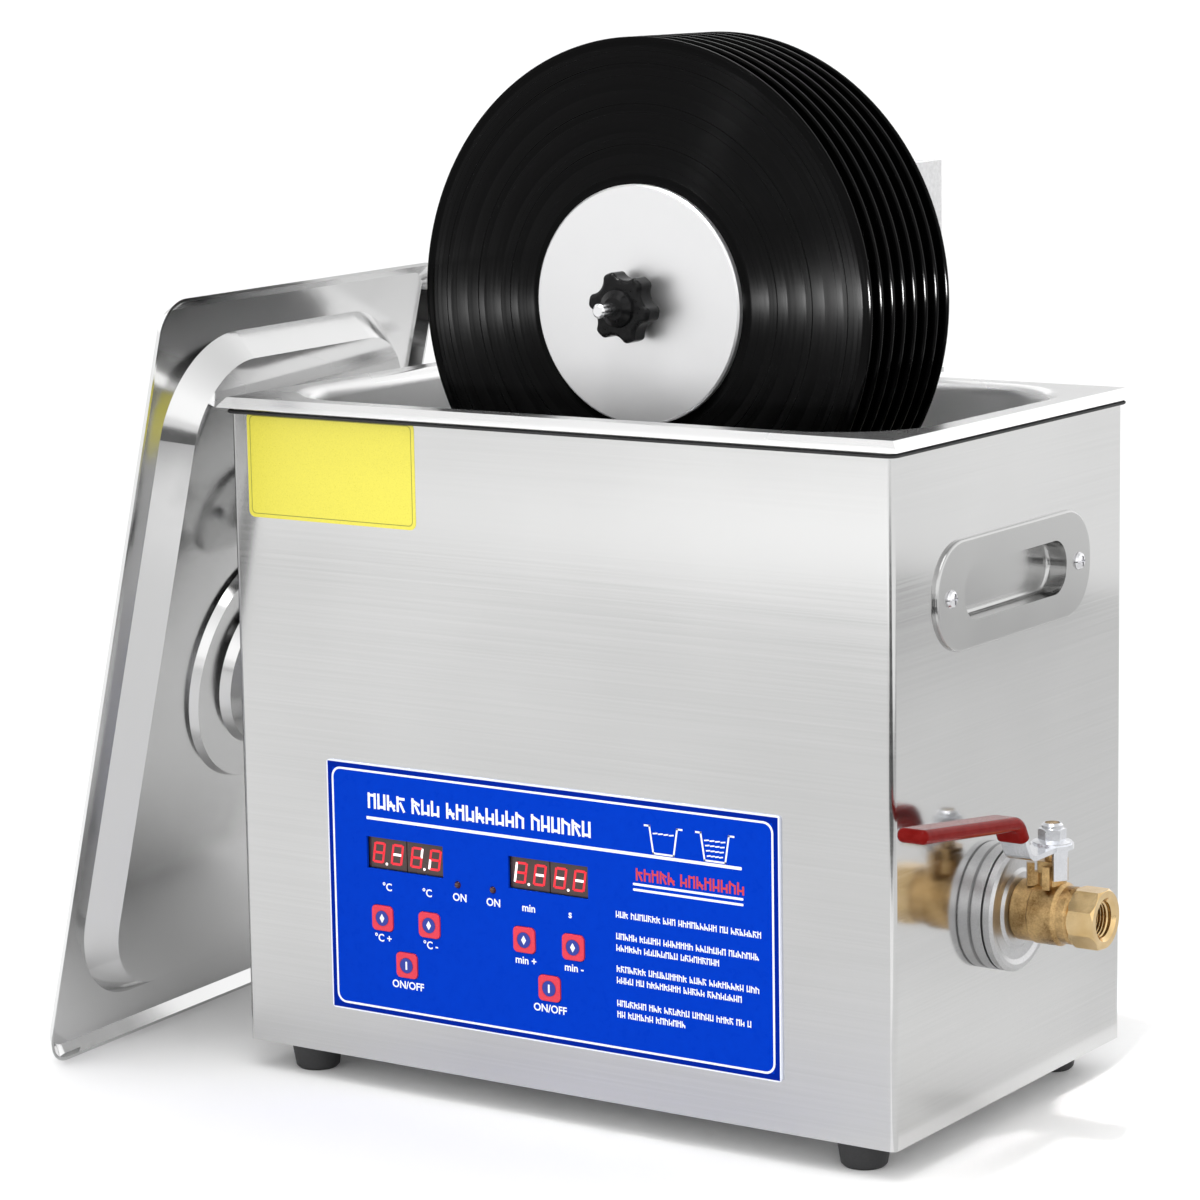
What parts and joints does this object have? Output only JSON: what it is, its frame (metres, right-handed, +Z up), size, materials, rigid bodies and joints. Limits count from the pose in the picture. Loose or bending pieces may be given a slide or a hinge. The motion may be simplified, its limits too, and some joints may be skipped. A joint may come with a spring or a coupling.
{
  "type": "record cleaning machine",
  "caption": "Bench ultrasonic cleaner with a steel tank, drain valve, front keys, a loose lid and a motor-driven rack that turns a stack of records through the bath.",
  "frame": {"origin": "under the middle of the whole outline, leaning lid included, on the floor", "axes": "+Z up, +X towards the side with the drain valve, -Y towards the front panel"},
  "size_m": [0.468, 0.2644, 0.4465],
  "materials": {
    "case_steel": "fine brushed, slightly mirror-like",
    "tank_steel": "satin, drawn",
    "lid_steel": "polished, mirror-like",
    "handle_steel": "satin",
    "rack_steel": "brushed",
    "spindle_steel": "turned, bright",
    "plain_steel": "galvanised",
    "bright_screw": "nickel plated",
    "zinc": "dull zinc casting",
    "zinc_plate": "bright zinc plated",
    "brass": "cast and machined",
    "guard_wire": "plated wire",
    "motor_can": "zinc plated",
    "cover_paint": "light grey satin paint",
    "clamp_aluminium": "satin",
    "horn_aluminium": "machined",
    "foot_rubber": "matte black",
    "heater_silicone": "orange silicone",
    "red_vinyl": "dipped red vinyl",
    "panel_blue": "printed blue film on a plate",
    "key_red": "red keys",
    "display": "dark red window",
    "lamp_lens": "dark lamp lens",
    "black_plastic": "black",
    "rocker_plastic": "gloss black",
    "knob_plastic": "gloss black",
    "record_vinyl": "pressed black vinyl",
    "white_plastic": "PTFE",
    "ceramic": "fired ceramic",
    "board": "green board"
  },
  "bodies": {
    "base": {"casing": "case_steel", "base_plate": "plain_steel", "feet": "foot_rubber", "foot_screws": "bright_screw", "tank": "tank_steel", "tank_drain": "tank_steel", "drain_nut": "brass", "drain_elbow": "brass", "wall_flanges": "zinc", "flange_gasket": "foot_rubber", "valve_body": "brass", "ball_seats": "white_plastic", "gland_nut": "brass", "transducer_horns": "horn_aluminium", "piezo_rings": "ceramic", "transducer_tails": "plain_steel", "heater_pads": "heater_silicone", "generator_board": "board", "control_panel": "panel_blue", "control_board": "board", "display_modules": "display", "indicator_lamps": "lamp_lens", "right_handle": "handle_steel", "left_handle": "handle_steel", "handle_screws": "bright_screw", "power_inlet": "black_plastic", "power_switch": "black_plastic", "fuse_holder": "black_plastic", "fan_frame": "black_plastic", "fan_guard": "guard_wire", "small_screws": "bright_screw", "rack_bracket": "rack_steel", "motor_cover": "cover_paint", "gear_motor": "motor_can", "motor_socket": "black_plastic", "bearing_bush": "brass"},
    "drain_handle": {"valve_ball": "bright_screw", "valve_stem": "brass", "lever": "zinc_plate", "lever_grip": "red_vinyl", "lever_nut": "zinc_plate"},
    "mains_rocker": {"power_rocker": "rocker_plastic"},
    "fuse_knob": {"fuse_cap": "black_plastic"},
    "fan": {"fan_rotor": "black_plastic"},
    "record_stack": {"spindle": "spindle_steel", "rear_clamp_disc": "clamp_aluminium", "records": "record_vinyl", "record_spacers": "black_plastic", "front_clamp_disc": "clamp_aluminium"},
    "clamp_knob": {"star_knob": "knob_plastic"},
    "left_thumbscrew": {"left_clamp_screw": "knob_plastic"},
    "right_thumbscrew": {"right_clamp_screw": "knob_plastic"},
    "loose_lid": {"lid": "lid_steel", "lid_handle_bar": "lid_steel"},
    "temp_up": {"temp_up_key": "key_red"},
    "temp_down": {"temp_down_key": "key_red"},
    "heat_switch": {"heat_switch_key": "key_red"},
    "time_up": {"time_up_key": "key_red"},
    "time_down": {"time_down_key": "key_red"},
    "wave_switch": {"wave_switch_key": "key_red"}
  },
  "joints": [
    {"name": "drain_lever_turn", "type": "hinge", "parent": "base", "child": "drain_handle", "pos_m": [0.2097, 0.0013, 0.0948], "axis": [0, 0, 1], "range_deg": [0, 90]},
    {"name": "mains_rocker_tilt", "type": "hinge", "parent": "base", "child": "mains_rocker", "pos_m": [-0.0428, 0.1091, 0.048], "axis": [1, 0, 0], "range_deg": [-16, 0]},
    {"name": "fuse_cap_turn", "type": "hinge", "parent": "base", "child": "fuse_knob", "pos_m": [-0.0128, 0.1101, 0.048], "axis": [0, -1, 0], "range_deg": [0, 90]},
    {"name": "fan_spin", "type": "hinge", "parent": "base", "child": "fan", "pos_m": [0.0852, 0.1016, 0.066], "axis": [0, 1, 0], "continuous": true},
    {"name": "record_spin", "type": "hinge", "parent": "base", "child": "record_stack", "pos_m": [0.0282, 0.0126, 0.336], "axis": [0, 1, 0], "continuous": true},
    {"name": "clamp_knob_turn", "type": "hinge", "parent": "record_stack", "child": "clamp_knob", "pos_m": [0.0282, -0.0229, 0.336], "axis": [0, 1, 0], "continuous": true},
    {"name": "left_thumbscrew_turn", "type": "hinge", "parent": "base", "child": "left_thumbscrew", "pos_m": [-0.0078, 0.1191, 0.2718], "axis": [0, 1, 0], "continuous": true},
    {"name": "right_thumbscrew_turn", "type": "hinge", "parent": "base", "child": "right_thumbscrew", "pos_m": [0.0642, 0.1191, 0.2718], "axis": [0, 1, 0], "continuous": true},
    {"name": "lid_lift_off", "type": "slide", "parent": "base", "child": "loose_lid", "axis": [0, 0, 1], "range_m": [0, 0.32]},
    {"name": "temp_up_press", "type": "slide", "parent": "base", "child": "temp_up", "axis": [0, 1, 0], "range_m": [0, 0.0008], "stiffness_N_per_m": 400, "springref_m": -0.001},
    {"name": "temp_down_press", "type": "slide", "parent": "base", "child": "temp_down", "axis": [0, 1, 0], "range_m": [0, 0.0008], "stiffness_N_per_m": 400, "springref_m": -0.001},
    {"name": "heat_switch_press", "type": "slide", "parent": "base", "child": "heat_switch", "axis": [0, 1, 0], "range_m": [0, 0.0008], "stiffness_N_per_m": 400, "springref_m": -0.001},
    {"name": "time_up_press", "type": "slide", "parent": "base", "child": "time_up", "axis": [0, 1, 0], "range_m": [0, 0.0008], "stiffness_N_per_m": 400, "springref_m": -0.001},
    {"name": "time_down_press", "type": "slide", "parent": "base", "child": "time_down", "axis": [0, 1, 0], "range_m": [0, 0.0008], "stiffness_N_per_m": 400, "springref_m": -0.001},
    {"name": "wave_switch_press", "type": "slide", "parent": "base", "child": "wave_switch", "axis": [0, 1, 0], "range_m": [0, 0.0008], "stiffness_N_per_m": 400, "springref_m": -0.001}
  ]
}
